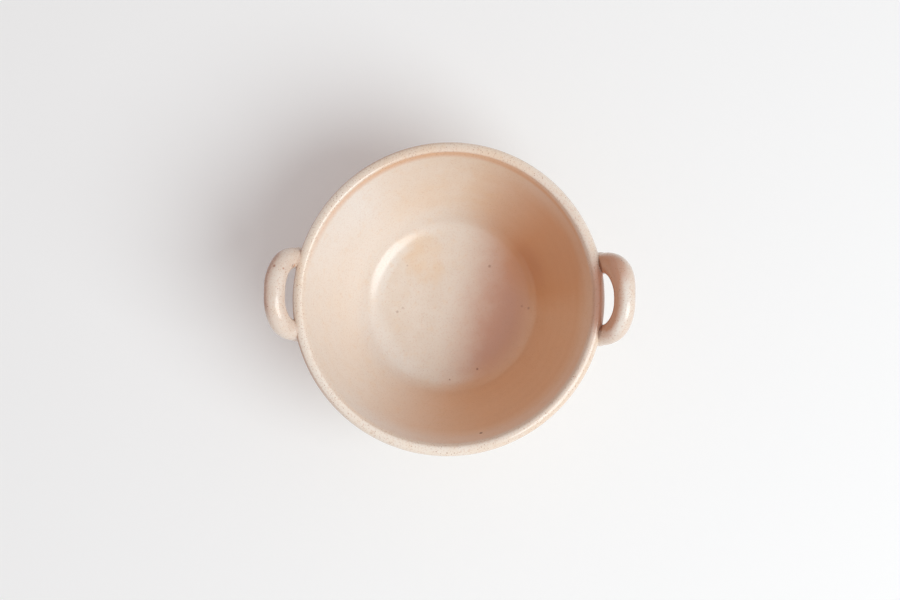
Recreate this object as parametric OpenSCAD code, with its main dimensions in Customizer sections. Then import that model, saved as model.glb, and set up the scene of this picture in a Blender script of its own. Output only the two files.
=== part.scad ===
// Lug soup bowl: a wheel-thrown stoneware bowl with two coil handles bent up at its rim.
// Millimetres. Z is up, the table is z = 0, and the handles stand on the X axis.
// The handle line and the bowl's axis meet at the origin.

/* [Bowl] */
// Inside diameter of the mouth, where the wall's curve ends below the rim
mouth_d = 116.9; // [100:0.1:140]
// Height from the table to the top of the rim
bowl_h = 62; // [52:0.5:76]
// Thickness of the wall
wall_t = 5; // [4:0.1:6.5]
// How much thicker the floor is than the wall
floor_extra = 0.5; // [0:0.1:3]
// Radius of the flat floor inside
floor_r = 29.5; // [24:0.5:36]
// Radius of the curve between the floor and the wall
corner_r = 12; // [8:0.5:16]
// How far the wall turns from its foot to the rim, in degrees
wall_turn = 14; // [6:0.2:24]

/* [Rim] */
// Radius of the rim's inner edge
rim_edge_r = 1.2; // [0.6:0.1:1.6]
// Width of the level band on top of the rim
rim_flat = 0.1; // [0.1:0.1:1.2]

/* [Foot ring] */
// Height of the foot ring
foot_h = 5; // [3:0.5:8]
// Width of the foot ring
foot_w = 5.5; // [4:0.5:8]
// How far the foot ring stands out past the flat floor
foot_out = 7.5; // [3:0.5:10]
// How far each side of the foot ring leans in towards the table
foot_taper = 0.6; // [0:0.1:1]
// Radius of the foot ring's edges at the table
foot_edge_r = 0.8; // [0.4:0.1:1.2]

/* [Handles] */
// Diameter of the clay coil
coil_d = 8.5; // [7:0.1:10]
// Distance between the two arms of a handle, centre to centre
arm_gap = 29; // [24:0.5:36]
// Slope of the handles, in degrees from level
handle_tilt = 64; // [50:1:70]
// How far the arch springs from below the top of the rim
arch_drop = 5.5; // [4:0.1:8]
// How far the arch springs from inside the rim's outermost circle
arch_inset = 0.7; // [0:0.1:1.5]
// How much the coil's pressed ends are swollen, on the radius
end_swell = 0.4; // [0.3:0.05:0.8]
// How far the middle of a pressed end lies past the foot of the arch
end_back = 1.5; // [1:0.1:1.7]

/* [Slip joints] */
// How far a joint spreads over the wall around a pressed end
slip_w = 1.6; // [1:0.1:2.4]
// How far a joint climbs up the side of a pressed end
slip_h = 1.8; // [1.2:0.1:2.4]

/* [Hidden] */
$fn = 96;

// The wall: a corner curve that rises from the floor, then one long curve up to the mouth.
floor_t = wall_t + floor_extra;
floor_z = foot_h + floor_t;
corner_at = [floor_r, floor_z + corner_r];
mouth_at = [mouth_d / 2, bowl_h - wall_t];
reach = mouth_at - corner_at;
half_turn = wall_turn / 2;
chord_slope = atan2(reach[1], reach[0]) + asin(corner_r * cos(half_turn) / norm(reach));
low_slope = chord_slope - half_turn;
top_slope = chord_slope + half_turn;
wall_low = corner_at + corner_r * out_from(low_slope);
wall_r = norm(mouth_at - wall_low) / (2 * sin(half_turn));
wall_at = wall_low - wall_r * out_from(low_slope);

// The rim: a tight inner edge, a level band and a fuller outer edge that takes up what is left.
rim_out_r = (wall_t - rim_edge_r * (1 - cos(top_slope)) - rim_flat * sin(top_slope))
    / (1 + cos(top_slope));
rim_in_at = [rim_centre_x(rim_edge_r, rim_edge_r), bowl_h - rim_edge_r];
rim_out_at = [rim_centre_x(wall_t - rim_out_r, rim_out_r), bowl_h - rim_out_r];
rim_r = rim_out_at[0] + rim_out_r;

// The foot ring, and where the corner curve runs out over it.
foot_r = floor_r + foot_out;
foot_slope = asin(foot_out / (corner_r + wall_t));

// The handles: where an arch springs, the middle of a pressed end and the wall behind it.
coil_r = coil_d / 2;
arch_r = arm_gap / 2;
arch_at = [rim_r - arch_inset, bowl_h - arch_drop];
end_r = coil_r + end_swell;
end_at = arch_at - end_back * [cos(handle_tilt), sin(handle_tilt)];
root_turn = atan2(arch_r, end_at[0]);
root_z = end_at[1] - slip_w / 2;
root_r = outer_r(root_z);
root_lean = 90 - outer_slope(root_z);

// How far the top of a slip joint laps into the pressed end.
slip_lap = 0.4;

// The block that cuts a handle's ends off at the wall: how far round it goes and how far in.
cut_in_r = mouth_d / 2 - 4 * wall_t;
cut_turn = 2 * atan2(arch_r + coil_d + slip_w, cut_in_r);

// Unit vector square to a line of the given slope, pointing away from the bowl.
function out_from(slope) = [sin(slope), -cos(slope)];

// Points of an arc whose tangent turns from one slope to another.
function arc(centre, radius, from, to, steps) =
    [for (i = [0 : steps]) centre + radius * out_from(from + (to - from) * i / steps)];

// Distance from the axis to the centre of a rim edge that lies the given depth into the wall.
function rim_centre_x(depth, radius) =
    mouth_at[0] + (depth + (wall_t - radius) * cos(top_slope)) / sin(top_slope);

// Slope and radius of the outside of the wall at a height.
function outer_slope(z) = acos((wall_at[1] - z) / (wall_r + wall_t));
function outer_r(z) = wall_at[0] + (wall_r + wall_t) * sin(outer_slope(z));

// Outside of the bowl: its underside, its wall and the outer edge of its rim.
underside = concat(
    [[0, foot_h], [foot_r, foot_h]],
    arc(corner_at, corner_r + wall_t, foot_slope, low_slope, 16));
outside = concat(
    arc(wall_at, wall_r + wall_t, low_slope, top_slope, 8),
    arc(rim_out_at, rim_out_r, top_slope, 180, 10));

// Inside of the bowl, from the middle of the rim down to the floor.
inside = concat(
    arc(rim_in_at, rim_edge_r, 180, 180 + top_slope, 8),
    arc(wall_at, wall_r, top_slope, low_slope, 8),
    arc(corner_at, corner_r, low_slope, 0, 16),
    [[0, floor_z]]);

// The stretch of wall behind the +X handle as if it were solid, to cut what stands against it.
module wall_behind_handle() {
    rotate([0, 0, -cut_turn / 2])
        rotate_extrude(angle = cut_turn)
            polygon(concat(outside, [[cut_in_r, bowl_h], [cut_in_r, outside[0][1]]]));
}

// The thrown wall and floor.
module bowl_body() {
    color("Wheat")
        rotate_extrude()
            polygon(concat(underside, outside, inside));
}

// The bare ring that the bowl stands on.
module foot_ring() {
    out_x = foot_r - foot_taper - foot_edge_r;
    in_x = foot_r - foot_w + foot_taper + foot_edge_r;
    color("Tan")
        rotate_extrude()
            polygon(concat(
                [[foot_r, foot_h], [foot_r - foot_w, foot_h]],
                [for (i = [0 : 5]) [in_x, foot_edge_r] - foot_edge_r * [cos(18 * i), sin(18 * i)]],
                [for (i = [0 : 5]) [out_x, foot_edge_r] + foot_edge_r * [sin(18 * i), -cos(18 * i)]]));
}

// One whole coil on the +X side: an arch and its two pressed ends.
module coil_loop() {
    translate([arch_at[0], 0, arch_at[1]])
        rotate([0, -handle_tilt, 0])
            rotate([0, 0, -90])
                rotate_extrude(angle = 180)
                    translate([arch_r, 0])
                        circle(d = coil_d);
    for (side = [-1, 1])
        translate([end_at[0], side * arch_r, end_at[1]])
            sphere(r = end_r);
}

// A handle on the +X side, cut to sit on the wall.
module handle() {
    color("Linen")
        difference() {
            coil_loop();
            wall_behind_handle();
        }
}

// Soft clay worked in round one root of the +X handle: side is -1 in front and 1 behind.
// It stops short of the top of the root, where the arch lies close along the rim.
module slip_joint(side) {
    color("Bisque")
        difference() {
            rotate([0, 0, side * root_turn])
                translate([root_r, 0, root_z])
                    rotate([0, 90 + root_lean, 0])
                        translate([0, 0, -slip_h])
                            cylinder(r1 = end_r + 2 * slip_w, r2 = end_r - slip_lap, h = 2 * slip_h);
            coil_loop();
            wall_behind_handle();
            translate([0, -arm_gap, end_at[1]])
                cube([rim_r + coil_d, 2 * arm_gap, bowl_h]);
        }
}

module left_handle() {
    mirror([1, 0, 0])
        handle();
}

module right_handle() {
    handle();
}

module slip_joint_left_front() {
    mirror([1, 0, 0])
        slip_joint(-1, $fn = 240);
}

module slip_joint_left_back() {
    mirror([1, 0, 0])
        slip_joint(1, $fn = 240);
}

module slip_joint_right_front() {
    slip_joint(-1, $fn = 240);
}

module slip_joint_right_back() {
    slip_joint(1, $fn = 240);
}

bowl_body();
foot_ring();
left_handle();
right_handle();
slip_joint_left_front();
slip_joint_left_back();
slip_joint_right_front();
slip_joint_right_back();
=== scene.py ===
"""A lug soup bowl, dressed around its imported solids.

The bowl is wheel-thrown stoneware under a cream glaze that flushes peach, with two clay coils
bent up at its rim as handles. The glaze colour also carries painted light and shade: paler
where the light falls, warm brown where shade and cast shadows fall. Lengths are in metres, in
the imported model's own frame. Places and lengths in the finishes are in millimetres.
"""

import logging
import math
from dataclasses import dataclass
from enum import Enum
from typing import Optional, Sequence, Union

import bmesh
import bpy
from mathutils import Matrix, Vector, noise


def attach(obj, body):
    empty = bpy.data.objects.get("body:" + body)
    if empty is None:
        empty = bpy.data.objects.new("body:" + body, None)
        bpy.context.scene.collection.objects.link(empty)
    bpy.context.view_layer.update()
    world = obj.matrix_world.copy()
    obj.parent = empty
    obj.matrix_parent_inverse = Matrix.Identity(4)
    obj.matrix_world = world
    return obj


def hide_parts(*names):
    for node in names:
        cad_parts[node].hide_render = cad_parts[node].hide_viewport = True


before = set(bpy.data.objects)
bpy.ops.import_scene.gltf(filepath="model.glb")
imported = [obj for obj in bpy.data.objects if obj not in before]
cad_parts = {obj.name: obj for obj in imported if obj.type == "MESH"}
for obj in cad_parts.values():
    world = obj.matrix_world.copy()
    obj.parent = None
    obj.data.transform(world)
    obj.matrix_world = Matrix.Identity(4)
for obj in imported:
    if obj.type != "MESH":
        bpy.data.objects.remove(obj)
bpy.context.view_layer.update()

MM = 0.001
WELD = 0.0005 * MM
BODY = "root"
log = logging.getLogger("lug_soup_bowl")

Colour = tuple[float, float, float, float]
Operand = Union["Value", float]
Paint = Union["Value", Colour]

WHITE: Colour = (1.0, 1.0, 1.0, 1.0)


class Side(Enum):
    """Which side of the bowl a handle stands on, as the sign of its X."""

    LEFT = -1
    RIGHT = 1


class Root(Enum):
    """Which root of a handle is meant, as the sign of its Y."""

    FRONT = -1
    BACK = 1


class Slot(Enum):
    """The record's material slots."""

    GLAZE = "glaze"
    BARE_CLAY = "bare_clay"


def paint(red: float, green: float, blue: float) -> Colour:
    """Turns a colour as it shows on a screen into the linear one that shaders take.

    Args:
        red: Red from 0 to 255.
        green: Green from 0 to 255.
        blue: Blue from 0 to 255.

    Returns:
        The linear colour with full opacity.
    """
    def linear(level: float) -> float:
        """Undoes the screen's curve for one channel."""
        share = level / 255
        return share / 12.92 if share <= 0.04045 else ((share + 0.055) / 1.055) ** 2.4

    return (linear(red), linear(green), linear(blue), 1.0)


def ease(share: float) -> float:
    """Smooth step from 0 to 1 of a share, which is held to that range first."""
    share = min(1.0, max(0.0, share))
    return share * share * (3 - 2 * share)


class OutlinePen:
    """Draws an outline in the XZ plane from one vertex, by extruding and spinning its tip."""

    def __init__(self, x: float, z: float) -> None:
        """Starts the outline.

        Args:
            x: Distance of the first point from the axis.
            z: Height of the first point.
        """
        self.mesh = bmesh.new()
        self.first = self.mesh.verts.new((x, 0, z))
        self.tip = self.first

    def line_to(self, x: float, z: float, steps: int = 1) -> None:
        """Draws a straight stretch.

        Args:
            x: Distance of its end from the axis.
            z: Height of its end.
            steps: How many edges it has.
        """
        start = self.tip.co.copy()
        for step in range(1, steps + 1):
            made = bmesh.ops.extrude_vert_indiv(self.mesh, verts=[self.tip])
            self.tip = made["verts"][0]
            self.tip.co = start.lerp(Vector((x, 0, z)), step / steps)

    def arc(self, centre: Vector, turn: float, steps: int) -> None:
        """Draws an arc on from the tip.

        Args:
            centre: Centre of the arc, as distance from the axis and height.
            turn: How far the arc turns, anticlockwise with the axis on the left.
            steps: How many edges it has.
        """
        made = bmesh.ops.spin(
            self.mesh, geom=[self.tip], cent=(centre.x, 0, centre.y), axis=(0, -1, 0),
            angle=turn, steps=steps)
        self.tip = next(g for g in made["geom_last"] if isinstance(g, bmesh.types.BMVert))

    def close(self) -> None:
        """Joins the tip to the first point."""
        bmesh.ops.contextual_create(self.mesh, geom=[self.tip, self.first])

    def revolve(self, steps: int) -> bmesh.types.BMesh:
        """Turns the outline once round the Z axis.

        Args:
            steps: How many stretches the turn has.

        Returns:
            The turned mesh, closed at its seam and poles.
        """
        bmesh.ops.spin(
            self.mesh, geom=[*self.mesh.verts, *self.mesh.edges], cent=(0, 0, 0), axis=(0, 0, 1),
            angle=math.tau, steps=steps, use_merge=True)
        bmesh.ops.remove_doubles(self.mesh, verts=self.mesh.verts[:], dist=WELD)
        bmesh.ops.recalc_face_normals(self.mesh, faces=self.mesh.faces[:])
        return self.mesh


class Value:
    """A socket of a node tree. Arithmetic on it adds Math nodes."""

    def __init__(self, bench: "TreeBench", socket: bpy.types.NodeSocket) -> None:
        """Wraps a socket.

        Args:
            bench: The bench whose tree the socket belongs to.
            socket: The output socket.
        """
        self.bench = bench
        self.socket = socket

    def math(self, operation: str, first: Operand, second: Operand = 0.0) -> "Value":
        """Adds a Math node.

        Args:
            operation: Name of the node's operation.
            first: Its first value.
            second: Its second value, where it has one.

        Returns:
            The node's result.
        """
        return self.bench.node("ShaderNodeMath", {"operation": operation}, {0: first, 1: second})

    def __add__(self, other: Operand) -> "Value":
        """Sum of two values."""
        return self.math("ADD", self, other)

    def __radd__(self, other: Operand) -> "Value":
        """Sum with a number on the left."""
        return self.math("ADD", other, self)

    def __sub__(self, other: Operand) -> "Value":
        """Difference of two values."""
        return self.math("SUBTRACT", self, other)

    def __rsub__(self, other: Operand) -> "Value":
        """Difference with a number on the left."""
        return self.math("SUBTRACT", other, self)

    def __mul__(self, other: Operand) -> "Value":
        """Product of two values."""
        return self.math("MULTIPLY", self, other)

    def __rmul__(self, other: Operand) -> "Value":
        """Product with a number on the left."""
        return self.math("MULTIPLY", other, self)

    def __truediv__(self, other: Operand) -> "Value":
        """Quotient of two values."""
        return self.math("DIVIDE", self, other)

    def __rtruediv__(self, other: Operand) -> "Value":
        """Quotient with a number on the left."""
        return self.math("DIVIDE", other, self)

    def __pow__(self, other: Operand) -> "Value":
        """Power of a value."""
        return self.math("POWER", self, other)

    def __rpow__(self, other: Operand) -> "Value":
        """Power of a number on the left."""
        return self.math("POWER", other, self)

    def __abs__(self) -> "Value":
        """This value without its sign."""
        return self.math("ABSOLUTE", self)

    def larger(self, other: Operand) -> "Value":
        """The larger of two values."""
        return self.math("MAXIMUM", self, other)

    def rise(self, low: float, high: float) -> "Value":
        """Smooth step of this value.

        Args:
            low: Where the step is 0.
            high: Where the step is 1, which may be below low.

        Returns:
            The step, from 0 to 1.
        """
        if low > high:
            return 1 - self.rise(high, low)
        return self.bench.node(
            "ShaderNodeMapRange", {"interpolation_type": "SMOOTHSTEP"},
            {"Value": self, "From Min": low, "From Max": high, "To Min": 0.0, "To Max": 1.0})

    def held(self) -> "Value":
        """This value held to 0 to 1."""
        return self.bench.node(
            "ShaderNodeMath", {"operation": "ADD", "use_clamp": True}, {0: self, 1: 0.0})


class TreeBench:
    """A node tree under construction, of a material or of the world."""

    def __init__(self, tree: bpy.types.NodeTree) -> None:
        """Takes the tree.

        Args:
            tree: The tree that nodes are added to.
        """
        self.tree = tree

    def node(
        self, kind: str, settings: Optional[dict] = None, inputs: Optional[dict] = None,
        output: Union[int, str] = 0,
    ) -> Value:
        """Adds any node.

        Args:
            kind: The node's type.
            settings: Its properties, which are set first.
            inputs: Values or links of its sockets, by name or index.
            output: Name or index of the socket that is returned.

        Returns:
            The chosen output.
        """
        made = self.tree.nodes.new(kind)
        for key, setting in (settings or {}).items():
            setattr(made, key, setting)
        self.feed(made, inputs or {})
        return Value(self, made.outputs[output])

    def feed(self, target: bpy.types.Node, inputs: dict) -> None:
        """Sets or links a node's sockets.

        Args:
            target: The node.
            inputs: Values or links, by socket name or index.
        """
        for key, given in inputs.items():
            if isinstance(given, Value):
                self.tree.links.new(given.socket, target.inputs[key])
            else:
                target.inputs[key].default_value = given

    def mix(self, share: Operand, first: Paint, second: Paint) -> Value:
        """Mixes two colours.

        Args:
            share: How much of the second colour shows.
            first: Colour at 0.
            second: Colour at 1.

        Returns:
            The mixed colour.
        """
        return self.node(
            "ShaderNodeMix", {"data_type": "RGBA"}, {0: share, 6: first, 7: second}, output=2)


class NodeBench(TreeBench):
    """A material under construction: its tree, its Principled shader and its surface position."""

    def __init__(self, name: str) -> None:
        """Makes the material.

        Args:
            name: The material's name.
        """
        self.material = bpy.data.materials.new(name)
        self.material.use_nodes = True
        super().__init__(self.material.node_tree)
        self.shader = next(n for n in self.tree.nodes if n.type == "BSDF_PRINCIPLED")
        place = self.node("ShaderNodeTexCoord", output="Object")
        self.place = self.node(
            "ShaderNodeVectorMath", {"operation": "SCALE"}, {0: place, "Scale": 1 / MM})

    def axes(self) -> tuple[Value, Value, Value]:
        """X, Y and Z of the surface position."""
        split = self.node("ShaderNodeSeparateXYZ", {}, {0: self.place}).socket.node.outputs
        return Value(self, split[0]), Value(self, split[1]), Value(self, split[2])

    def near(self, point: tuple[float, float, float]) -> Value:
        """Distance of the surface position from a point, in millimetres."""
        return self.node(
            "ShaderNodeVectorMath", {"operation": "DISTANCE"}, {0: self.place, 1: point}, "Value")

    def moved(self, offset: float) -> Value:
        """The surface position moved by one length along each axis, so that two patterns differ."""
        return self.node("ShaderNodeVectorMath", {"operation": "ADD"}, {0: self.place, 1: (offset,) * 3})

    def grain(self, reach: float, detail: float = 2.0, offset: float = 0.0) -> Value:
        """Soft noise over the surface.

        Args:
            reach: Size of its patches in millimetres.
            detail: How many finer layers it has.
            offset: Moves the pattern.

        Returns:
            The noise, about 0.5 in the middle.
        """
        return self.node("ShaderNodeTexNoise", {}, {
            "Vector": self.moved(offset), "Scale": 1 / reach, "Detail": detail, "Roughness": 0.55})

    def specks(self, spacing: float, radius: float, share: float, offset: float = 0.0) -> Value:
        """Scattered round specks.

        Args:
            spacing: Distance between places where a speck may be, in millimetres.
            radius: Radius of the largest speck, in millimetres.
            share: Share of those places that have one.
            offset: Moves the pattern.

        Returns:
            How strongly a speck shows, from 0 to 1.
        """
        cells = {"Vector": self.moved(offset), "Scale": 1 / spacing}
        near = self.node("ShaderNodeTexVoronoi", {}, cells, output="Distance") * spacing
        tint = self.node("ShaderNodeTexVoronoi", {}, cells, output="Color")
        draw = self.node("ShaderNodeSeparateColor", {}, {0: tint}, output=0)
        size = self.node("ShaderNodeSeparateColor", {}, {0: tint}, output=1)
        reach = (size * 0.7 + 0.3) * radius
        return (near / reach).rise(1.0, 0.25) * draw.rise(share + 0.01, share)

    def relief(self, height: Value, strength: float, depth: float) -> Value:
        """Surface normal of a fine relief.

        Args:
            height: The relief's height.
            strength: How much of it shows.
            depth: How deep a height of 1 is, in metres.

        Returns:
            The normal.
        """
        return self.node(
            "ShaderNodeBump", {}, {"Strength": strength, "Distance": depth, "Height": height}, "Normal")


@dataclass(frozen=True)
class BowlShape:
    """Sizes of the thrown bowl, and the arcs of its outline that follow from them.

    The last six say how far the hand-thrown bowl is from true: an oval, three lobes and a warped
    rim, each with its size and the angle that it is turned by.
    """

    mouth_r: float = 58.3 * MM
    height: float = 62.0 * MM
    wall: float = 5.0 * MM
    floor_extra: float = 0.5 * MM
    floor_r: float = 29.5 * MM
    corner_r: float = 12.0 * MM
    wall_turn: float = math.radians(14.0)
    rim_edge_r: float = 1.2 * MM
    rim_flat: float = 0.1 * MM
    foot_h: float = 5.0 * MM
    foot_out: float = 7.5 * MM
    oval: float = 0.4 * MM
    oval_turn: float = math.radians(130)
    lobes: float = 0.06 * MM
    lobes_turn: float = 1.9
    warp: float = 0.12 * MM
    warp_turn: float = 0.8

    @staticmethod
    def outward(slope: float) -> Vector:
        """Unit vector square to a line of that slope, pointing away from the bowl."""
        return Vector((math.sin(slope), -math.cos(slope)))

    @property
    def floor_z(self) -> float:
        """Height of the floor inside."""
        return self.foot_h + self.wall + self.floor_extra

    @property
    def corner_at(self) -> Vector:
        """Centre of the curve between floor and wall."""
        return Vector((self.floor_r, self.floor_z + self.corner_r))

    @property
    def mouth_at(self) -> Vector:
        """Where the inner wall's long curve ends below the rim."""
        return Vector((self.mouth_r, self.height - self.wall))

    @property
    def slopes(self) -> tuple[float, float]:
        """Slopes of the wall's long curve.

        Returns:
            The slope where it starts and the one where it ends.
        """
        reach = self.mouth_at - self.corner_at
        half = self.wall_turn / 2
        chord = math.atan2(reach.y, reach.x) + math.asin(self.corner_r * math.cos(half) / reach.length)
        return chord - half, chord + half

    @property
    def wall_low(self) -> Vector:
        """Where the inner wall's long curve starts."""
        return self.corner_at + self.corner_r * self.outward(self.slopes[0])

    @property
    def wall_r(self) -> float:
        """Radius of the inner wall's long curve."""
        return (self.mouth_at - self.wall_low).length / (2 * math.sin(self.wall_turn / 2))

    @property
    def wall_at(self) -> Vector:
        """Centre of the wall's long curve."""
        return self.wall_low - self.wall_r * self.outward(self.slopes[0])

    @property
    def rim_out_r(self) -> float:
        """Radius of the rim's outer edge.

        Returns:
            What the wall's thickness leaves beside the inner edge and the level band.
        """
        top = self.slopes[1]
        spare = self.wall - self.rim_edge_r * (1 - math.cos(top)) - self.rim_flat * math.sin(top)
        return spare / (1 + math.cos(top))

    def rim_x(self, depth: float, radius: float) -> float:
        """Distance from the axis to the centre of a rim edge.

        Args:
            depth: How deep the centre lies in the wall.
            radius: Radius of the edge.

        Returns:
            The distance.
        """
        top = self.slopes[1]
        return self.mouth_at.x + (depth + (self.wall - radius) * math.cos(top)) / math.sin(top)

    @property
    def rim_in_at(self) -> Vector:
        """Centre of the rim's inner edge."""
        return Vector((self.rim_x(self.rim_edge_r, self.rim_edge_r), self.height - self.rim_edge_r))

    @property
    def rim_out_at(self) -> Vector:
        """Centre of the rim's outer edge."""
        radius = self.rim_out_r
        return Vector((self.rim_x(self.wall - radius, radius), self.height - radius))

    @property
    def rim_r(self) -> float:
        """Largest radius of the rim."""
        return self.rim_out_at.x + self.rim_out_r

    @property
    def foot_r(self) -> float:
        """Radius of the foot ring."""
        return self.floor_r + self.foot_out

    def outer_slope(self, z: float) -> float:
        """Slope of the outside of the wall at a height."""
        return math.acos((self.wall_at.y - z) / (self.wall_r + self.wall))

    def outer_r(self, z: float) -> float:
        """Radius of the outside of the wall at a height."""
        return self.wall_at.x + (self.wall_r + self.wall) * math.sin(self.outer_slope(z))

    def thrown(self, point: Vector) -> Vector:
        """Moves a true point to where it is on the hand-thrown bowl, a little out of round.

        Args:
            point: The point on the true bowl.

        Returns:
            The point on the thrown one.
        """
        share = min(1.2, max(0.0, point.z / self.height)) ** 2
        turn = math.atan2(point.y, point.x)
        bulge = self.oval * math.cos(2 * turn - self.oval_turn)
        bulge += self.lobes * math.cos(3 * turn + self.lobes_turn)
        lift = share * share * self.warp * math.cos(2 * turn + self.warp_turn)
        flat = Vector((point.x, point.y, 0))
        if flat.length > 0.01 * MM:
            flat.normalize()
        return point + flat * (share * bulge) + Vector((0, 0, lift))


class GlazePlace:
    """Where a point of the glaze lies, from the bowl's axis and the table, in millimetres."""

    def __init__(self, bench: NodeBench) -> None:
        """Reads the surface position.

        Args:
            bench: The material under construction.
        """
        self.x, self.y, self.z = bench.axes()
        self.out = (self.x * self.x + self.y * self.y + 1.0) ** 0.5

    def towards(self, degrees: float) -> Value:
        """How far the point lies from the axis along a direction round the bowl."""
        turn = math.radians(degrees)
        return self.x * math.cos(turn) + self.y * math.sin(turn)

    def facing(self, degrees: float) -> Value:
        """Cosine of the angle between the point and a direction round the bowl."""
        return self.towards(degrees) / self.out


class BowlPlace(GlazePlace):
    """Which part of the bowl a point of its glaze lies on, as shares from 0 to 1."""

    def __init__(self, bench: NodeBench, shape: BowlShape) -> None:
        """Works out the shares.

        Args:
            bench: The material under construction.
            shape: The bowl.
        """
        super().__init__(bench)
        x, y, z, out = self.x, self.y, self.z, self.out
        away = ((out - shape.wall_at.x / MM) ** 2 + (z - shape.wall_at.y / MM) ** 2) ** 0.5
        middle = (shape.wall_r + shape.wall / 2) / MM
        self.inside = away.rise(middle + 1, middle - 1) * z.rise(7, 9)
        self.rim = z.rise(57.5, 60.5) * out.rise(57.5, 59.5)
        self.wall = (((x + 2.2) ** 2 + y * y) ** 0.5).rise(33, 41)
        # Band under the back rim's inner edge: partly glaze thinned at the edge, partly painted shade.
        back_edge = self.facing(95).rise(0.1, 0.9)
        self.lip = z.rise(56, 59) * z.rise(61.7, 60.6) * self.inside * back_edge
        # Outer wall on the side away from the light: painted warm shade, which also warms the light it
        # bounces onto the table.
        left_back = self.facing(150).rise(0.1, 0.8)
        self.shaded_shell = (1 - self.inside) * (1 - z.rise(58.5, 61.2)) * left_back * z.rise(6, 22)
        # Upper right of the inside, in shade: partly a warmer flushing of the glaze, partly painted
        # shade.
        self.warm_side = self.facing(38).rise(0.68, 1.0)
        self.ember = bench.near((34, 17, 14)).rise(17, 4)
        self.cloud = bench.grain(9, 3.0, 40.0)


class HandlePlace(GlazePlace):
    """Where a point of the glaze lies on a handle, seen from above as an oval round its arch."""

    oval_at: float = 63.3
    oval_back: float = 0.95
    oval_x: float = 7.2
    oval_y: float = 14.8
    drift: float = 1.4

    def __init__(self, bench: NodeBench) -> None:
        """Works out the place.

        Args:
            bench: The material under construction.
        """
        super().__init__(bench)
        self.right = self.x.rise(-1, 1)
        self.reach = abs(self.x) - self.oval_at
        self.along = self.y - self.oval_back
        oval = ((self.reach / self.oval_x) ** 2 + (self.along / self.oval_y) ** 2 + 0.0001) ** 0.5
        steep_x = self.reach / self.oval_x ** 2
        steep_y = self.along / self.oval_y ** 2
        past = (oval - 1) * oval / (steep_x ** 2 + steep_y ** 2 + 0.00001) ** 0.5
        self.past = past + (bench.grain(0.9, 3.0, 9.0) - 0.5) * self.drift
        self.back = self.y.rise(3, 12)
        # Creases where the roots meet the rim, which take painted shade.
        self.crease_shade = self.out.rise(63.6, 63.1) * self.z.rise(52, 57)


@dataclass(frozen=True)
class Spot:
    """One pinhole, iron spot or painted glint in the glaze, at its place on the bowl in millimetres."""

    at: tuple[float, float, float]
    radius: float
    strength: float
    colour: Colour = paint(140, 88, 62)


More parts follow.
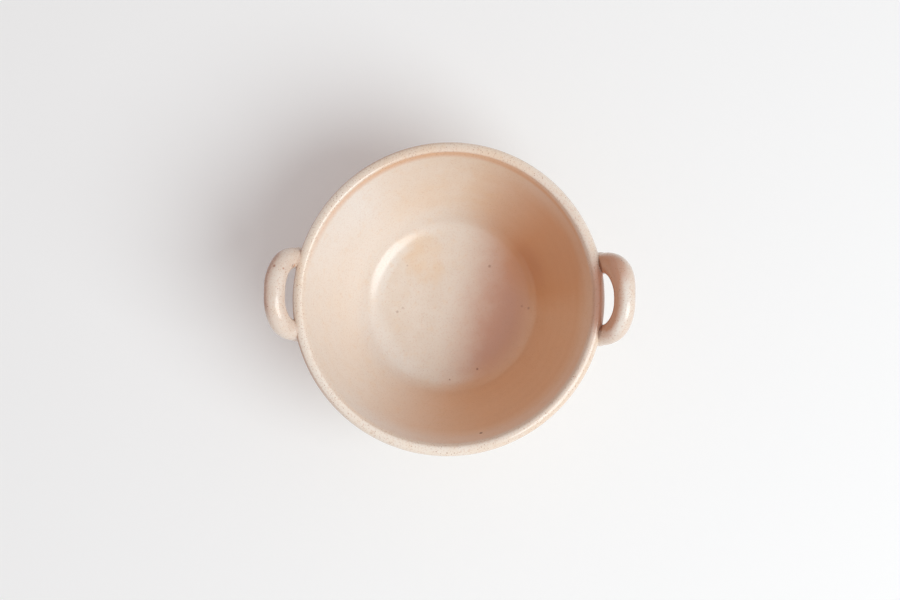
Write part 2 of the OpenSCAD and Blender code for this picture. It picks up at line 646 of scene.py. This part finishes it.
@dataclass(frozen=True)
class GlazeFinish:
    """Colours and gloss of the cream glaze, the marks that the firing left in it, and its painted light
    and shade.
    """

    # rose, peach, rust and iron also colour the painted shade; pale, ivory and sheen the painted light.
    cream: Colour = paint(228, 213, 198)
    pale: Colour = paint(237, 228, 218)
    ivory: Colour = paint(243, 229, 214)
    sheen: Colour = paint(238, 233, 227)
    coil: Colour = paint(223, 204, 188)
    rose: Colour = paint(199, 150, 126)
    peach: Colour = paint(220, 163, 117)
    straw: Colour = paint(232, 200, 164)
    rust: Colour = paint(199, 139, 100)
    clay: Colour = paint(168, 116, 84)
    iron: Colour = paint(140, 88, 62)
    roughness: float = 0.17
    gloss_ior: float = 1.6
    peel_strength: float = 0.6
    peel_depth: float = 0.03 * MM
    bowl_spots: tuple[Spot, ...] = (
        Spot((14.2, -54.9, 52.1), 1.0, 1.0, paint(96, 58, 40)),
        Spot((18.0, 17.2, 10.5), 0.95, 0.55),
        Spot((-22.9, -3.9, 10.5), 0.9, 0.42),
        Spot((-20.5, -2.1, 10.5), 0.8, 0.28),
        Spot((13.2, -28.9, 10.7), 0.75, 0.8),
        Spot((35.6, -1.4, 12.2), 0.85, 0.5),
        Spot((32.7, -0.5, 10.9), 0.8, 0.35),
        Spot((1.0, -33.8, 11.3), 0.6, 0.6),
        Spot((-18.8, 16.9, 10.5), 0.6, 0.3),
        Spot((-46.3, 40.7, 61.8), 0.5, 0.5),
        Spot((-22.6, -59.0, 60.9), 0.5, 0.5),
        Spot((0.4, -62.7, 61.4), 0.5, 0.5),
        Spot((3.3, -62.6, 61.3), 0.5, 0.5),
        # Painted orange glint in the crease at the right handle's back root.
        Spot((63.0, 10.6, 60.0), 1.8, 0.8, paint(226, 140, 88)),
    )
    handle_spots: tuple[Spot, ...] = (
        Spot((-69.8, 11.2, 71.7), 0.95, 0.8, paint(160, 98, 70)),
        Spot((-66.1, 10.3, 71.3), 0.65, 0.7, paint(176, 112, 80)),
        Spot((-63.2, 11.8, 66.0), 1.0, 0.6),
        Spot((-68.1, -11.7, 70.7), 0.5, 0.4),
        Spot((-70.7, -10.5, 71.3), 0.5, 0.5),
        Spot((62.9, -10.2, 62.6), 0.8, 0.5),
        Spot((-63.2, 12.0, 64.0), 1.6, 0.8, paint(196, 128, 84)),
        # The same painted orange glint, on the coil.
        Spot((62.7, 11.5, 61.8), 1.4, 0.7, paint(226, 140, 88)),
    )

    def bowl(self, shape: BowlShape) -> bpy.types.Material:
        """Makes the bowl's glaze.

        Args:
            shape: The bowl that it runs over.

        Returns:
            The material.
        """
        bench = NodeBench("bowl_glaze")
        at = BowlPlace(bench, shape)
        shade_and_flush = (self.bowl_shade_and_flush(at) + at.shaded_shell * 0.75).held()
        tint = self.bowl_tint(bench, at)
        base = self.bowl_base(bench, at)
        colour = self.body(bench, base, shade_and_flush, tint, 0.3 + at.rim * 0.85, self.clay)
        # Left outer edge of the rim: partly glaze thinned at the edge, partly painted shade on the side
        # away from the light.
        outer_edge = at.out.rise(62.8, 63.6) * at.z.rise(55, 58) * at.facing(160).rise(0.1, 1.0)
        colour = bench.mix(outer_edge * 0.8, colour, self.clay)
        self.fire(bench, colour, self.bowl_spots, self.roughness + (1 - at.wall) * 0.06)
        return bench.material

    @staticmethod
    def bowl_shade_and_flush(at: BowlPlace) -> Value:
        """Works out where the inside and the rim have flushed and where painted shade and shadow lie:
        most on the right, which lies in shade.

        Args:
            at: The place on the bowl.

        Returns:
            How much flushing and painted shade there is, from 0.
        """
        # The right walls lie in shade: their colour is partly the glaze's own flushing, mostly painted
        # shade.
        on_wall = at.facing(-25).rise(-0.5, 0.75) * 0.85 + at.warm_side * 0.27
        # Painted shadow of the right rim on the floor, with an uneven soft edge.
        floor_shadow = (at.towards(-12.6) + (at.cloud - 0.5) * 13).rise(-2, 25)
        shade_and_flush = (floor_shadow + (on_wall - floor_shadow) * at.wall) * (1 - at.z.rise(44, 57) * 0.3)
        # Painted shadow of the right handle on the rim.
        handle_shadow = at.x.rise(54, 62) * at.y.rise(-17, -8) * at.y.rise(20, 10) * at.out.rise(64.4, 61.8)
        rim_edge = at.inside * at.facing(50).rise(-0.6, 0.9) * 0.16
        return shade_and_flush * (1 - at.rim) * at.inside + (handle_shadow + rim_edge) * at.rim + at.lip * 0.5

    def bowl_tint(self, bench: NodeBench, at: BowlPlace) -> Value:
        """Mixes the colour of the bowl's flushing and painted shade.

        Args:
            bench: The material under construction.
            at: The place on the bowl.

        Returns:
            The colour.
        """
        tint = bench.mix(at.warm_side * 0.5 + at.ember * 0.4, self.peach, self.rust)
        # Rose for the painted shadow on the floor, the shaded outer wall and the painted shadow on the
        # rim.
        tint = bench.mix((at.out.rise(26, 43) + at.ember * 0.5).held(), self.rose, tint)
        return bench.mix((at.shaded_shell + at.rim - at.lip).held(), tint, self.rose)

    def bowl_base(self, bench: NodeBench, at: BowlPlace) -> Paint:
        """Mixes the colour of the bowl's glaze where it has not flushed, wash over wash. Most washes
        are painted light, one is painted shade on the rim where the light falls fullest, and the
        straw washes are the glaze's own tone.

        Args:
            bench: The material under construction.
            at: The place on the bowl.

        Returns:
            The colour.
        """
        # Painted light: paler back-left walls where the light falls, a painted reflection higher on them,
        # and paler lit walls and rim at the front left, the left and the front.
        back_left = at.facing(140).rise(0.3, 0.9) * at.out.rise(30, 45)
        back_left_top = at.facing(135).rise(0.4, 0.9) * at.z.rise(24, 44)
        front_left = at.facing(-140).rise(0.3, 0.9) * at.wall
        left_rim = at.facing(150).rise(-0.7, 0.5) * at.rim
        front = at.facing(-85).rise(0.4, 0.95)
        front_top = front * at.z.rise(44, 56) * at.inside * (1 - at.rim)
        # Painted shade, toning down the lower-right rim where the light falls fullest.
        right_rim = at.facing(-36).rise(0.6, 0.97) * at.rim
        right_rim_colour = bench.mix(at.out.rise(60.5, 62.5) * 0.4, self.coil, self.straw)
        # Paler pool in the back corner: partly thicker glaze, partly a painted highlight; at the
        # front-left corner, a painted glow.
        back_corner = at.facing(146).rise(0.75, 0.97) * at.out.rise(28, 30) * at.out.rise(35, 32)
        front_corner = at.facing(-145).rise(0.75, 0.97) * at.out.rise(26, 32) * at.out.rise(44, 38)
        # The straw washes are the glaze's own tone.
        left_wall = at.facing(165).rise(0.82, 1.0) * at.out.rise(42, 50)
        back_wall = at.facing(92).rise(0.7, 1.0) * at.out.rise(38, 46)
        floor_stain = (bench.near((-10.5, 21.5, 10.5)) + (at.cloud - 0.5) * 16).rise(15, 3)
        washes = (
            (back_left, self.pale),
            (back_left_top, self.sheen),
            (front_left * 0.6, self.ivory),
            (left_rim, self.ivory),
            (front_top, self.sheen),
            (front * at.rim * 0.5, self.ivory),
            (right_rim * 0.7, right_rim_colour),
            (back_corner * at.inside * 0.5, self.sheen),
            (front_corner * at.inside * 0.4, self.sheen),
            (left_wall * at.inside * 0.15, self.straw),
            (back_wall * 0.45, self.straw),
            (floor_stain * 0.55, self.straw),
        )
        base: Paint = self.cream
        for share, wash in washes:
            base = bench.mix(share, base, wash)
        return base

    def handles(self) -> bpy.types.Material:
        """Makes the glaze on the handles and round their roots, with painted light and shade.

        Returns:
            The material.
        """
        bench = NodeBench("handle_glaze")
        at = HandlePlace(bench)
        left = 1 - at.right
        # Painted shade on the handle sides away from the light: the right handle's inner side, its back
        # arm in the crown's shadow and its arms by the roots, and the left handle's outer side.
        right_side_shade = at.past.rise(-0.1, -3.6) * 0.95
        right_side_shade = right_side_shade + at.back * at.past.rise(4.4, 2.2) * at.reach.rise(10, 5) * 0.85
        right_side_shade = right_side_shade + at.reach.rise(5, 1) * at.past.rise(3.0, 0.5) * 0.5
        left_side_shade = at.past.rise(0.2, 3.6) * at.reach.rise(3.2, 6.5) * at.along.rise(-13, -4) * 0.95
        # The root creases take painted shade too, darkest at the right handle's back root; on the handles
        # this whole share is painted shade.
        shade_and_flush = right_side_shade * at.right + left * left_side_shade + at.crease_shade * (at.right * at.back * 0.7 + 0.2)
        tint = bench.mix(at.right * 0.5, self.rose, self.rust)
        # The painted shade deepens to iron in the creases and at the left handle's outer edge.
        tint = bench.mix(at.crease_shade + left * at.past.rise(1.8, 2.7) * 0.6, tint, self.iron)
        # Painted highlight band along the lit top of the right crown.
        lit_right_crest = at.right * at.past.rise(-2.0, 0.0) * at.past.rise(3.0, 0.8)
        base = bench.mix(lit_right_crest * 0.7, self.coil, self.pale)
        colour = self.body(bench, base, shade_and_flush.held(), tint, 1.0, self.iron)
        self.fire(bench, colour, self.handle_spots, self.roughness + 0.03)
        return bench.material

    def body(
        self, bench: NodeBench, base: Paint, shade_and_flush: Value, tint: Paint, speckle: Operand, speck: Colour,
    ) -> Value:
        """Mixes the glaze's colour, with its flushing, its painted shade and its fine speckle.

        Args:
            bench: The material under construction.
            base: Colour of the glaze where it has not flushed, with its painted light.
            shade_and_flush: How much flushing and painted shade shows, from 0 to 1.
            tint: Colour of the flushing and painted shade.
            speckle: How strongly the iron speckle shows.
            speck: Colour of the larger specks.

        Returns:
            The colour.
        """
        colour = bench.mix(bench.grain(9, 3.0, 40.0).rise(0.35, 0.7) * 0.35, base, self.pale)
        colour = bench.mix(bench.grain(4, 3.0, 77.0).rise(0.5, 0.8) * 0.25, colour, self.straw)
        colour = bench.mix(shade_and_flush, colour, tint)
        fine = bench.grain(0.7, 3.0, 15.0).rise(0.5, 0.72)
        colour = bench.mix(fine * (speckle * 0.2 + 0.12), colour, self.rust)
        colour = bench.mix(bench.specks(0.65, 0.28, 0.5, 31.0) * speckle * 0.8, colour, self.clay)
        return bench.mix(bench.specks(1.0, 0.3, 0.25) * speckle, colour, speck)

    def fire(self, bench: NodeBench, colour: Value, spots: Sequence[Spot], roughness: Operand) -> None:
        """Adds the spots and sets the shader.

        Args:
            bench: The material under construction.
            colour: The glaze's colour without spots.
            spots: The pinholes and iron spots, and the painted glints.
            roughness: How far the glaze is from a mirror.
        """
        pits: Operand = 0.0
        for spot in spots:
            mark = bench.near(spot.at).rise(spot.radius, spot.radius * 0.2) * spot.strength
            colour = bench.mix(mark, colour, spot.colour)
            pits = mark + pits
        peel = bench.grain(2.2, 2.0, 5.0) - pits
        bench.feed(bench.shader, {
            "Base Color": colour,
            "Roughness": roughness + (bench.grain(5.0, 3.0, 21.0) - 0.5) * 0.1,
            "Normal": bench.relief(peel, self.peel_strength, self.peel_depth),
            "IOR": self.gloss_ior})


@dataclass(frozen=True)
class ClayFinish:
    """Bare fired stoneware, matt and sandy."""

    buff: Colour = paint(196, 164, 134)
    brown: Colour = paint(160, 120, 90)
    grit: Colour = paint(110, 78, 56)
    roughness: float = 0.85
    sand_strength: float = 0.8
    sand_depth: float = 0.12 * MM

    def make(self) -> bpy.types.Material:
        """Makes the material.

        Returns:
            The material.
        """
        bench = NodeBench("bare_clay")
        colour = bench.mix(bench.grain(9, 4.0).rise(0.35, 0.7), self.buff, self.brown)
        colour = bench.mix(bench.specks(1.5, 0.35, 0.35) * 0.6, colour, self.grit)
        sand = bench.grain(0.5, 3.0)
        bench.feed(bench.shader, {
            "Base Color": colour,
            "Roughness": self.roughness + (sand - 0.5) * 0.15,
            "Normal": bench.relief(sand, self.sand_strength, self.sand_depth)})
        return bench.material


class ClayPiece:
    """A piece of the bowl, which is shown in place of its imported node."""

    @staticmethod
    def show(
        mesh: bmesh.types.BMesh, name: str, node: str, slot: Slot, finish: bpy.types.Material,
    ) -> None:
        """Puts a finished mesh into the scene in place of its node.

        Args:
            mesh: The mesh, which is freed.
            name: Name of the new object.
            node: The node that it stands for.
            slot: The record's material slot that it stands for; not used.
            finish: Its material.
        """
        bmesh.ops.recalc_face_normals(mesh, faces=mesh.faces[:])
        for face in mesh.faces:
            face.smooth = True
        data = bpy.data.meshes.new(name)
        mesh.to_mesh(data)
        mesh.free()
        data.materials.append(finish)
        piece = bpy.data.objects.new(name, data)
        bpy.context.scene.collection.objects.link(piece)
        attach(piece, BODY)
        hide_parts(node)
        log.info("%s: %d faces in place of %s", name, len(data.polygons), node)


@dataclass
class BowlBody(ClayPiece):
    """The thrown wall, floor and rim, with the fingers' spiral track on the inside wall."""

    shape: BowlShape
    steps: int = 256
    track_height: float = 0.02 * MM
    track_spacing: float = 6.0 * MM
    track_from_r: float = 34.0 * MM
    track_fade_in: float = 8.0 * MM
    track_to_z: float = 57.0 * MM
    track_fade_out: float = 6.0 * MM

    def build(self) -> bmesh.types.BMesh:
        """Turns the outline and gives it the marks of the wheel.

        Returns:
            The mesh.
        """
        shape = self.shape
        low, top = shape.slopes
        foot_slope = math.asin(shape.foot_out / (shape.corner_r + shape.wall))
        corner_out = shape.corner_at + (shape.corner_r + shape.wall) * shape.outward(foot_slope)
        rim_start = shape.rim_out_at + shape.rim_out_r * shape.outward(top)
        pen = OutlinePen(0, shape.foot_h)
        pen.line_to(shape.foot_r, shape.foot_h, 6)
        pen.line_to(corner_out.x, corner_out.y)
        pen.arc(shape.corner_at, low - foot_slope, 18)
        pen.arc(shape.wall_at, top - low, 40)
        pen.line_to(rim_start.x, rim_start.y)
        pen.arc(shape.rim_out_at, math.pi - top, 16)
        pen.line_to(shape.rim_in_at.x, shape.height)
        pen.arc(shape.rim_in_at, top, 10)
        pen.line_to(shape.mouth_at.x, shape.mouth_at.y)
        pen.arc(shape.wall_at, low - top, 60)
        pen.arc(shape.corner_at, -low, 26)
        pen.line_to(0, shape.floor_z, 12)
        mesh = pen.revolve(self.steps)
        for vert in mesh.verts:
            vert.co = shape.thrown(vert.co + self.wheel_mark(vert.co))
        return mesh

    def wheel_mark(self, point: Vector) -> Vector:
        """How far the fingers' spiral track moves a point of the inside wall.

        Args:
            point: The point on the true bowl.

        Returns:
            The move.
        """
        shape = self.shape
        flat = Vector((point.x, point.y))
        from_centre = Vector((flat.length, point.z)) - shape.wall_at
        outside = from_centre.length > shape.wall_r + shape.wall / 2
        share = ease((flat.length - self.track_from_r) / self.track_fade_in)
        share *= ease((self.track_to_z - point.z) / self.track_fade_out)
        if outside or point.z < shape.floor_z - MM or not share:
            return Vector((0, 0, 0))
        wave = math.sin(math.tau * point.z / self.track_spacing + math.atan2(point.y, point.x))
        return (flat.normalized() * self.track_height * wave * share).to_3d()

    def dress(self, glaze: bpy.types.Material) -> None:
        """Builds the bowl and shows it under its glaze."""
        self.show(self.build(), "bowl_body_thrown", "bowl_body", Slot.GLAZE, glaze)


@dataclass
class FootRing(ClayPiece):
    """The bare ring that the bowl stands on."""

    shape: BowlShape
    width: float = 5.5 * MM
    taper: float = 0.6 * MM
    edge_r: float = 0.8 * MM
    lap: float = 0.3 * MM
    steps: int = 192

    def build(self) -> bmesh.types.BMesh:
        """Turns the ring.

        Returns:
            The mesh.
        """
        foot_r, foot_h = self.shape.foot_r, self.shape.foot_h
        inner = foot_r - self.width
        pen = OutlinePen(foot_r - self.lap, foot_h + self.lap)
        pen.line_to(inner + self.lap, foot_h + self.lap, 4)
        pen.line_to(inner, foot_h)
        pen.line_to(inner + self.taper, self.edge_r, 6)
        pen.arc(Vector((inner + self.taper + self.edge_r, self.edge_r)), math.pi / 2, 6)
        pen.line_to(foot_r - self.taper - self.edge_r, 0, 4)
        pen.arc(Vector((foot_r - self.taper - self.edge_r, self.edge_r)), math.pi / 2, 6)
        pen.line_to(foot_r, foot_h, 6)
        pen.close()
        return pen.revolve(self.steps)

    def dress(self, clay: bpy.types.Material) -> None:
        """Builds the ring and shows it as bare clay."""
        self.show(self.build(), "foot_ring_turned", "foot_ring", Slot.BARE_CLAY, clay)


@dataclass
class CoilHandle(ClayPiece):
    """A round clay coil bent into an arch, with two pressed ends.

    The knuckle is a thicker place at the back bend, and the wobble is the unevenness of a coil
    that was rolled by hand.
    """

    shape: BowlShape
    side: Side
    lean_out: float = 0.0
    knuckle: float = 0.0
    knuckle_up: float = 0.7
    knuckle_back: float = 0.75
    knuckle_reach: float = 8.0 * MM
    set_back: float = 0.95 * MM
    coil_r: float = 4.25 * MM
    arch_r: float = 14.8 * MM
    arch_h: float = 14.5 * MM
    bend_r: float = 13.2 * MM
    tilt: float = math.radians(64)
    arch_drop: float = 5.5 * MM
    arch_inset: float = 0.7 * MM
    end_swell: float = 0.4 * MM
    end_back: float = 1.5 * MM
    wobble: float = 0.18 * MM
    wobble_reach: float = 11.0 * MM
    wobble_seed: int = 5
    around: int = 48
    bend_steps: int = 36
    arm_steps: int = 4
    crown_steps: int = 8
    swell_steps: int = 5
    dome_steps: int = 9

    @property
    def name(self) -> str:
        """The handle's side as a word."""
        return self.side.name.lower()

    @property
    def arch_at(self) -> Vector:
        """Middle of the arch's foot line, on the +X side."""
        return Vector((self.shape.rim_r - self.arch_inset, 0, self.shape.height - self.arch_drop))

    @property
    def up(self) -> Vector:
        """Direction from the foot of the arch to its crown, on the +X side."""
        return Vector((math.cos(self.tilt), 0, math.sin(self.tilt)))

    @property
    def end_r(self) -> float:
        """Radius of a pressed end."""
        return self.coil_r + self.end_swell

    def end_at(self, root: Root) -> Vector:
        """Middle of a pressed end, on the +X side."""
        return self.arch_at - self.end_back * self.up + Vector((0, root.value * self.arch_r, 0))

    def build(self) -> bmesh.types.BMesh:
        """Spins the arch, draws out its pressed ends and makes it uneven.

        Returns:
            The mesh.
        """
        mesh = bmesh.new()
        across = Vector((0, 1, 0))
        square = self.up.cross(across)
        start = Matrix((across, square, self.up)).transposed().to_4x4()
        start.translation = self.arch_at + across * self.arch_r
        circle = bmesh.ops.create_circle(mesh, segments=self.around, radius=self.coil_r, matrix=start)
        first = list({edge for vert in circle["verts"] for edge in vert.link_edges})
        arm = self.arch_h - self.bend_r
        crown = self.arch_r - self.bend_r
        last = self.run(mesh, first, self.up * arm, self.arm_steps)
        last = self.bend_round(mesh, last, self.arch_at + self.up * arm + across * crown)
        last = self.run(mesh, last, across * (-2 * crown), self.crown_steps)
        last = self.bend_round(mesh, last, self.arch_at + self.up * arm - across * crown)
        last = self.run(mesh, last, self.up * -arm, self.arm_steps)
        self.press_end(mesh, first, Root.BACK)
        self.press_end(mesh, last, Root.FRONT)
        bmesh.ops.remove_doubles(mesh, verts=mesh.verts[:], dist=WELD)
        bmesh.ops.recalc_face_normals(mesh, faces=mesh.faces[:])
        self.roll_uneven(mesh)
        self.place(mesh)
        return mesh

    @staticmethod
    def extrude(
        mesh: bmesh.types.BMesh, edges: Sequence[bmesh.types.BMEdge],
    ) -> tuple[list[bmesh.types.BMEdge], list[bmesh.types.BMVert]]:
        """Extrudes the open ring at the coil's end, without moving the new ring.

        Args:
            mesh: The handle's mesh.
            edges: The open ring of edges.

        Returns:
            The new ring's edges and its vertices.
        """
        made = bmesh.ops.extrude_edge_only(mesh, edges=edges)["geom"]
        new_edges = [g for g in made if isinstance(g, bmesh.types.BMEdge)]
        new_verts = [g for g in made if isinstance(g, bmesh.types.BMVert)]
        return new_edges, new_verts

    def run(
        self, mesh: bmesh.types.BMesh, edges: Sequence[bmesh.types.BMEdge], way: Vector, steps: int,
    ) -> list[bmesh.types.BMEdge]:
        """Draws the coil straight on.

        Args:
            mesh: The handle's mesh.
            edges: The open ring of edges at the coil's end.
            way: How far it goes, and where.
            steps: How many stretches it has.

        Returns:
            The open ring of edges at the new end.
        """
        loop = list(edges)
        for _ in range(steps):
            loop, verts = self.extrude(mesh, loop)
            bmesh.ops.translate(mesh, verts=verts, vec=way / steps)
        return loop

    def bend_round(
        self, mesh: bmesh.types.BMesh, edges: Sequence[bmesh.types.BMEdge], centre: Vector,
    ) -> list[bmesh.types.BMEdge]:
        """Bends the coil on through a right angle.

        Args:
            mesh: The handle's mesh.
            edges: The open ring of edges at the coil's end.
            centre: Centre of the bend.

        Returns:
            The open ring of edges at the new end.
        """
        verts = list({vert for edge in edges for vert in edge.verts})
        made = bmesh.ops.spin(
            mesh, geom=[*verts, *edges], cent=centre, axis=Vector((0, 1, 0)).cross(self.up),
            angle=math.pi / 2, steps=self.bend_steps)
        return [g for g in made["geom_last"] if isinstance(g, bmesh.types.BMEdge)]

    def press_end(self, mesh: bmesh.types.BMesh, edges: Sequence[bmesh.types.BMEdge], root: Root) -> None:
        """Draws one end of the coil out into a swollen, rounded root.

        Args:
            mesh: The handle's mesh.
            edges: The open ring of edges at that end.
            root: Which end it is.
        """
        foot = self.arch_at + Vector((0, root.value * self.arch_r, 0))
        rings = []
        for i in range(1, self.swell_steps + 1):
            share = i / self.swell_steps
            rings.append((self.end_back * share, self.coil_r + self.end_swell * ease(share)))
        for i in range(1, self.dome_steps):
            turn = i * math.pi / 2 / self.dome_steps
            rings.append((self.end_back + self.end_r * math.sin(turn), self.end_r * math.cos(turn)))
        loop = list(edges)
        last_back, last_r = 0.0, self.coil_r
        for back, radius in rings:
            loop, verts = self.extrude(mesh, loop)
            bmesh.ops.translate(mesh, verts=verts, vec=-self.up * (back - last_back))
            centre = foot - self.up * back
            grow = radius / last_r
            bmesh.ops.scale(mesh, vec=(grow,) * 3, space=Matrix.Translation(-centre), verts=verts)
            last_back, last_r = back, radius
        _, verts = self.extrude(mesh, loop)
        bmesh.ops.pointmerge(mesh, verts=verts, merge_co=foot - self.up * (self.end_back + self.end_r))

    def roll_uneven(self, mesh: bmesh.types.BMesh) -> None:
        """Thickens the coil's back bend, makes it slightly uneven and leans its crown out.

        Args:
            mesh: The handle's mesh, on the +X side.
        """
        mesh.normal_update()
        noise.seed_set(self.wobble_seed)
        knuckle_at = self.arch_at + self.up * (self.arch_h * self.knuckle_up)
        knuckle_at += Vector((0, self.arch_r * self.knuckle_back, 0))
        pattern_at = Vector((3.0, 7.0 * self.side.value, 1.0))
        for vert in mesh.verts:
            share = ease((vert.co - self.arch_at).dot(self.up) / self.arch_h)
            near = ease(1.5 - (vert.co - knuckle_at).length / self.knuckle_reach)
            vert.co += vert.normal * self.knuckle * near
            drift = noise.noise_vector(vert.co / self.wobble_reach + pattern_at)
            vert.co += drift * self.wobble * share + Vector((self.lean_out * share, 0, 0))

    def place(self, mesh: bmesh.types.BMesh) -> None:
        """Moves a mesh from the true bowl's +X side to this handle's side of the thrown one.

        Args:
            mesh: The mesh.
        """
        if self.side is Side.LEFT:
            bmesh.ops.scale(mesh, vec=(-1, 1, 1), verts=mesh.verts[:])
        for vert in mesh.verts:
            vert.co = self.shape.thrown(vert.co + Vector((0, self.set_back, 0)))

    def dress(self, glaze: bpy.types.Material) -> None:
        """Builds the handle and shows it under its glaze."""
        self.show(self.build(), f"{self.name}_handle_coil", f"{self.name}_handle", Slot.GLAZE, glaze)


@dataclass
class SlipJoint(ClayPiece):
    """Soft clay worked in round one root of a handle, fading out above the root."""

    handle: CoilHandle
    root: Root
    spread: float = 2.8 * MM
    climb: float = 3.2 * MM
    lap: float = 0.9 * MM
    tuck: float = 0.12 * MM
    fade_at: float = 0.3
    fade_over: float = 0.9
    slope_steps: int = 10
    steps: int = 72

    def build(self) -> bmesh.types.BMesh:
        """Turns a hollow-sided ring, settles it on the wall round the root and takes off its faded part.

        Returns:
            The mesh.
        """
        inner = self.handle.end_r - self.lap
        outer = self.handle.end_r + self.spread
        pen = OutlinePen(inner, -self.lap)
        pen.line_to(outer, -self.lap / 2)
        pen.line_to(outer, 0)
        for i in range(1, self.slope_steps + 1):
            turn = math.pi / 2 * i / self.slope_steps
            inward = (self.spread + self.tuck) * math.sin(turn)
            pen.line_to(outer - inward, self.climb * (1 - math.cos(turn)))
        pen.line_to(inner, self.climb)
        pen.close()
        mesh = pen.revolve(self.steps)
        for vert in mesh.verts:
            vert.co = self.settle(vert.co)
        bmesh.ops.remove_doubles(mesh, verts=mesh.verts[:], dist=WELD)
        faded = [edge for edge in mesh.edges if not edge.link_faces]
        bmesh.ops.delete(mesh, geom=faded, context="EDGES")
        self.handle.place(mesh)
        return mesh

    def settle(self, point: Vector) -> Vector:
        """Lays a point of the ring on the wall.

        Args:
            point: The point, with Z as its height over the wall and X pointing up the wall.

        Returns:
            The point on the +X side of the bowl.
        """
        shape = self.handle.shape
        centre = self.handle.end_at(self.root)
        flat = Vector((point.x, point.y))
        upward, sideways = flat.normalized()
        full = ease((self.fade_at - upward) / self.fade_over)
        inner = self.handle.end_r - self.lap
        reach = inner + (flat.length - inner) * full
        height = -self.lap + (point.z + self.lap) * full
        lean = math.pi / 2 - shape.outer_slope(centre.z)
        z = centre.z + reach * upward * math.cos(lean)
        turn = math.atan2(centre.y, centre.x) + reach * sideways / shape.rim_r
        out = shape.outer_r(min(z, shape.height - shape.wall)) + height / math.cos(lean)
        return Vector((out * math.cos(turn), out * math.sin(turn), z))

    def dress(self, glaze: bpy.types.Material) -> None:
        """Builds the joint and shows it under the handle's glaze."""
        node = f"slip_joint_{self.handle.name}_{self.root.name.lower()}"
        self.show(self.build(), f"{node}_worked", node, Slot.GLAZE, glaze)


@dataclass
class Studio:
    """The table, the light and the camera."""

    table_half: float = 2.0
    table_colour: Colour = paint(246, 246, 246)
    table_roughness: float = 0.7
    table_gloss: float = 0.2
    fill_colour: Colour = (0.565, 0.53, 0.525, 1.0)
    key_colour: tuple[float, float, float] = (0.92, 1.0, 1.02)
    key_power: float = 18.4
    key_size: float = 1.28
    key_distance: float = 1.7
    key_azimuth: float = math.radians(-32)
    key_elevation: float = math.radians(48)
    aim: tuple[float, float, float] = (0.55 * MM, -0.77 * MM, 62.0 * MM)
    camera_height: float = 507.0 * MM
    elevation: float = math.radians(87.2)
    roll: float = math.radians(0.95)
    lens: float = 50.0
    sensor: float = 36.0

    def build(self) -> None:
        """Makes the table, the light and the camera."""
        self.lay_table()
        self.light_world()
        self.hang_key()
        self.set_camera()

    def lay_table(self) -> None:
        """Makes the table top."""
        mesh = bmesh.new()
        bmesh.ops.create_grid(mesh, x_segments=1, y_segments=1, size=self.table_half)
        data = bpy.data.meshes.new("table")
        mesh.to_mesh(data)
        mesh.free()
        bench = NodeBench("table_white")
        bench.feed(bench.shader, {
            "Base Color": self.table_colour,
            "Roughness": self.table_roughness,
            "Specular IOR Level": self.table_gloss})
        data.materials.append(bench.material)
        table = bpy.data.objects.new("table", data)
        bpy.context.scene.collection.objects.link(table)
        log.info("table laid")

    def light_world(self) -> None:
        """Makes the soft light from all round, which looks white to the camera and in the glaze."""
        world = bpy.data.worlds.new("studio")
        bpy.context.scene.world = world
        world.use_nodes = True
        bench = TreeBench(world.node_tree)
        camera = bench.node("ShaderNodeLightPath", output="Is Camera Ray")
        glossy = bench.node("ShaderNodeLightPath", output="Is Glossy Ray")
        through = bench.node("ShaderNodeLightPath", output="Is Transmission Ray")
        shown = bench.mix(camera.larger(glossy).larger(through), self.fill_colour, WHITE)
        light = next(n for n in bench.tree.nodes if n.type == "BACKGROUND")
        bench.feed(light, {"Color": shown, "Strength": 1.0})

    def hang_key(self) -> None:
        """Hangs the large soft lamp."""
        lamp = bpy.data.lights.new("window", "AREA")
        lamp.shape = "DISK"
        lamp.size = self.key_size
        lamp.energy = self.key_power
        lamp.color = self.key_colour
        key = bpy.data.objects.new("window", lamp)
        flat = math.cos(self.key_elevation)
        towards = Vector((
            math.cos(self.key_azimuth) * flat,
            math.sin(self.key_azimuth) * flat,
            math.sin(self.key_elevation)))
        key.location = towards * self.key_distance
        key.rotation_euler = (-towards).to_track_quat("-Z", "Y").to_euler()
        bpy.context.scene.collection.objects.link(key)

    def set_camera(self) -> None:
        """Places the camera almost straight above the bowl."""
        lens = bpy.data.cameras.new("camera")
        lens.lens = self.lens
        lens.sensor_width = self.sensor
        camera = bpy.data.objects.new("camera", lens)
        back = Vector((0, -math.cos(self.elevation), math.sin(self.elevation)))
        camera.location = Vector(self.aim) + back * (self.camera_height / math.sin(self.elevation))
        turn = (-back).to_track_quat("-Z", "Y").to_matrix() @ Matrix.Rotation(self.roll, 3, "Z")
        camera.rotation_euler = turn.to_euler()
        bpy.context.scene.collection.objects.link(camera)
        bpy.context.scene.camera = camera
        bpy.context.scene.view_settings.view_transform = "Standard"


def main() -> None:
    """Builds the bowl piece by piece, then the studio."""
    logging.basicConfig(level=logging.INFO, format="%(name)s: %(message)s")
    shape = BowlShape()
    glaze = GlazeFinish()
    bowl_glaze = glaze.bowl(shape)
    handle_glaze = glaze.handles()
    BowlBody(shape).dress(bowl_glaze)
    FootRing(shape).dress(ClayFinish().make())
    left_handle = CoilHandle(shape, Side.LEFT, lean_out=0.4 * MM)
    right_handle = CoilHandle(shape, Side.RIGHT, lean_out=1.2 * MM, knuckle=0.5 * MM)
    for handle in (left_handle, right_handle):
        handle.dress(handle_glaze)
        for root in Root:
            SlipJoint(handle, root).dress(handle_glaze)
    Studio().build()
    bpy.context.view_layer.update()


if __name__ == "__main__":
    main()
